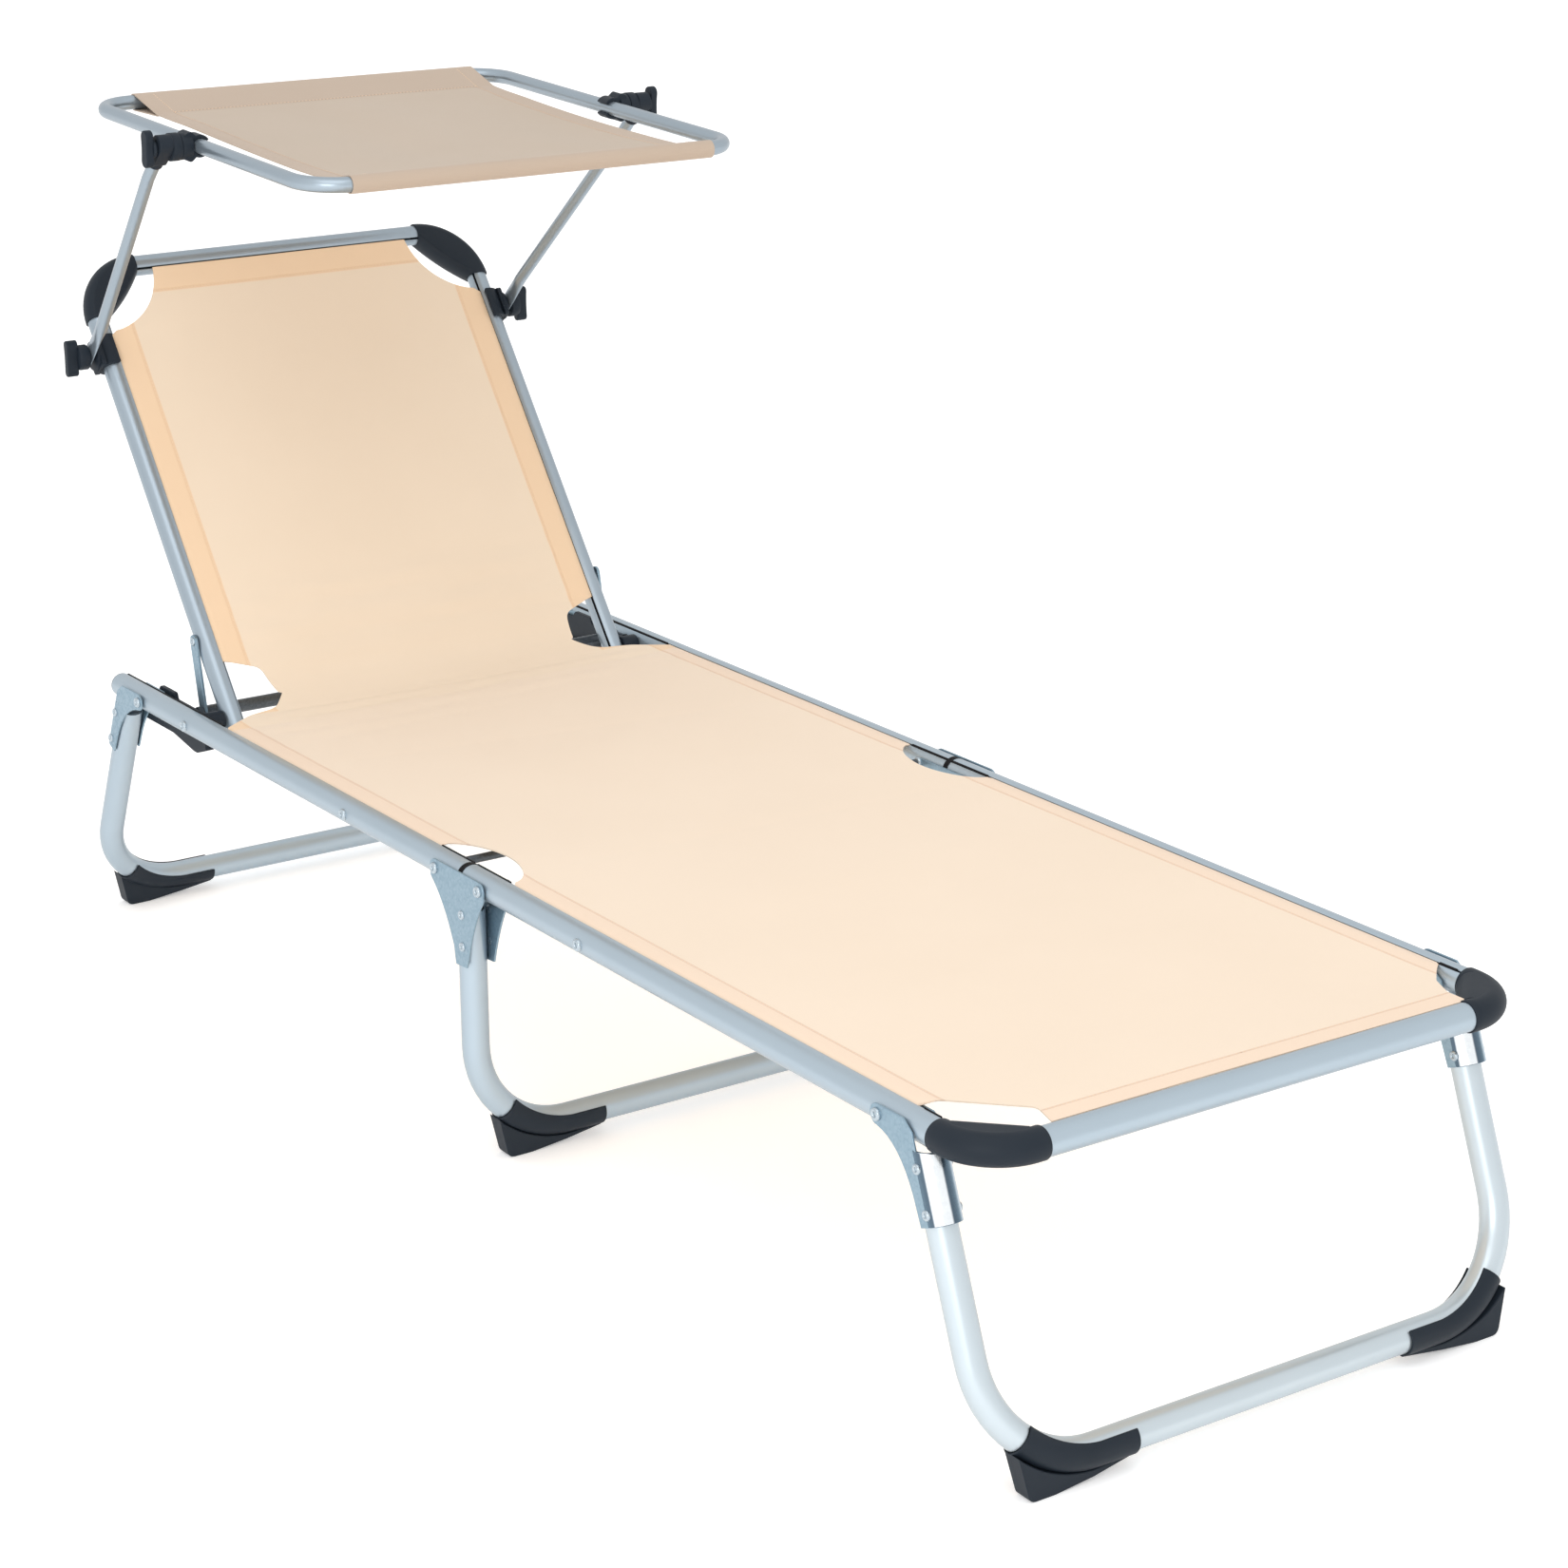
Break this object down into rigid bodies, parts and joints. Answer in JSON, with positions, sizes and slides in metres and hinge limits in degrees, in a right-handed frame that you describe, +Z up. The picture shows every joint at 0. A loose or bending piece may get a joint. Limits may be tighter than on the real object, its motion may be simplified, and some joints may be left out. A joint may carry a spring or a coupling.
{
  "type": "folding sun lounger",
  "caption": "Folding sun lounger with a reclining backrest, three U-shaped legs on folding brackets and a fabric canopy on clamped arms.",
  "frame": {"origin": "middle of the bounding box's underside, on the floor under the pads", "axes": "+X toward the foot end, +Y to the lounger's left, +Z up"},
  "size_m": [1.7264, 0.6004, 0.9025],
  "materials": {
    "aluminium_tube": "satin anodised silver grey",
    "zinc_steel": "zinc plated, lightly spangled",
    "black_plastic": "black, fine moulded grain",
    "woven_fabric": "pale sand woven mesh with a stitched hem"
  },
  "bodies": {
    "head_section": {"head_rail_right": "aluminium_tube", "head_rail_left": "aluminium_tube", "head_cross_brace": "aluminium_tube", "bed_fabric_head": "woven_fabric", "notch_rack_right": "black_plastic", "notch_rack_left": "black_plastic", "backrest_pivot_spacer_right": "black_plastic", "backrest_pivot_spacer_left": "black_plastic"},
    "mid_leg": {"mid_leg_tube": "aluminium_tube", "mid_cross_rod": "zinc_steel", "mid_leg_bracket_right": "black_plastic", "mid_leg_bracket_left": "black_plastic", "mid_leg_pad_right": "black_plastic", "mid_leg_pad_left": "black_plastic", "head_fold_rivet_right": "zinc_steel", "head_fold_rivet_left": "zinc_steel", "foot_fold_rivet_right": "zinc_steel", "foot_fold_rivet_left": "zinc_steel"},
    "foot_section": {"foot_rail_right": "aluminium_tube", "foot_rail_left": "aluminium_tube", "foot_end_tube": "aluminium_tube", "foot_cross_brace": "aluminium_tube", "bed_fabric_foot": "woven_fabric", "corner_elbow_right": "black_plastic", "corner_elbow_left": "black_plastic"},
    "foot_leg": {"foot_leg_tube": "aluminium_tube", "foot_leg_bracket_right": "black_plastic", "foot_leg_bracket_left": "black_plastic", "foot_leg_pad_right": "black_plastic", "foot_leg_pad_left": "black_plastic", "foot_leg_rivet_right": "zinc_steel", "foot_leg_rivet_left": "zinc_steel"},
    "head_leg": {"head_leg_tube": "aluminium_tube", "head_leg_bracket_right": "black_plastic", "head_leg_bracket_left": "black_plastic", "head_leg_pad_right": "black_plastic", "head_leg_pad_left": "black_plastic", "head_leg_rivet_right": "zinc_steel", "head_leg_rivet_left": "zinc_steel"},
    "backrest": {"backrest_tube_right": "aluminium_tube", "backrest_tube_left": "aluminium_tube", "backrest_top_tube": "aluminium_tube", "backrest_fabric": "woven_fabric", "backrest_corner_right": "black_plastic", "backrest_corner_left": "black_plastic"},
    "stay": {"backrest_stay": "zinc_steel"},
    "lower_clamps": {"lower_clamp_right": "black_plastic", "lower_clamp_left": "black_plastic"},
    "lower_knob_right": {"lower_knob_right": "black_plastic"},
    "lower_knob_left": {"lower_knob_left": "black_plastic"},
    "canopy_arms": {"canopy_arm_right": "aluminium_tube", "canopy_arm_left": "aluminium_tube", "arm_socket_right": "black_plastic", "arm_socket_left": "black_plastic"},
    "canopy_clips": {"canopy_clip_right": "black_plastic", "canopy_clip_left": "black_plastic"},
    "upper_knob_right": {"upper_knob_right": "black_plastic"},
    "upper_knob_left": {"upper_knob_left": "black_plastic"},
    "canopy": {"canopy_frame": "aluminium_tube", "canopy_fabric": "woven_fabric"}
  },
  "joints": [
    {"name": "mid_fold", "type": "hinge", "parent": "head_section", "child": "mid_leg", "pos_m": [0.00891, 0, 0.284], "axis": [0, 1, 0], "range_deg": [-90, 0]},
    {"name": "foot_fold", "type": "hinge", "parent": "mid_leg", "child": "foot_section", "pos_m": [0.08891, 0, 0.284], "axis": [0, 1, 0], "range_deg": [-90, 0]},
    {"name": "foot_leg_fold", "type": "hinge", "parent": "foot_section", "child": "foot_leg", "pos_m": [0.70291, 0, 0.284], "axis": [0, -1, 0], "range_deg": [-110.9, 0]},
    {"name": "head_leg_fold", "type": "hinge", "parent": "head_section", "child": "head_leg", "pos_m": [-0.63409, 0, 0.284], "axis": [0, 1, 0], "range_deg": [-114.5, 0]},
    {"name": "backrest_recline", "type": "hinge", "parent": "head_section", "child": "backrest", "pos_m": [-0.52809, 0, 0.284], "axis": [0, 1, 0], "range_deg": [-53.1, 0]},
    {"name": "stay_swing", "type": "hinge", "parent": "backrest", "child": "stay", "pos_m": [-0.58213, 0, 0.35597], "axis": [0, 1, 0], "range_deg": [0, 116]},
    {"name": "clamp_slide", "type": "slide", "parent": "backrest", "child": "lower_clamps", "axis": [0.6004, 0, -0.7997], "range_m": [-0.015, 0.15]},
    {"name": "arm_swing", "type": "hinge", "parent": "lower_clamps", "child": "canopy_arms", "pos_m": [-0.78567, 0, 0.62706], "axis": [0, 1, 0], "range_deg": [-83, 45]},
    {"name": "canopy_tilt", "type": "hinge", "parent": "canopy_arms", "child": "canopy_clips", "pos_m": [-0.52486, 0, 0.88069], "axis": [0, 1, 0], "range_deg": [-47.2, 60]},
    {"name": "canopy_slide", "type": "slide", "parent": "canopy_clips", "child": "canopy", "axis": [-0.9988, 0, 0.0489], "range_m": [-0.08, 0.08]},
    {"name": "lower_knob_right_turn", "type": "hinge", "parent": "lower_clamps", "child": "lower_knob_right", "pos_m": [-0.78567, -0.265, 0.62706], "axis": [0, 1, 0], "range_deg": [-180, 0]},
    {"name": "lower_knob_left_turn", "type": "hinge", "parent": "lower_clamps", "child": "lower_knob_left", "pos_m": [-0.78567, 0.265, 0.62706], "axis": [0, -1, 0], "range_deg": [-180, 0]},
    {"name": "upper_knob_right_turn", "type": "hinge", "parent": "canopy_clips", "child": "upper_knob_right", "pos_m": [-0.52486, -0.29, 0.88069], "axis": [0, 1, 0], "range_deg": [-180, 0]},
    {"name": "upper_knob_left_turn", "type": "hinge", "parent": "canopy_clips", "child": "upper_knob_left", "pos_m": [-0.52486, 0.29, 0.88069], "axis": [0, -1, 0], "range_deg": [-180, 0]}
  ],
  "couplings": [
    {"joint": "stay_swing", "follows": "backrest_recline", "ratio": -2.1816}
  ]
}
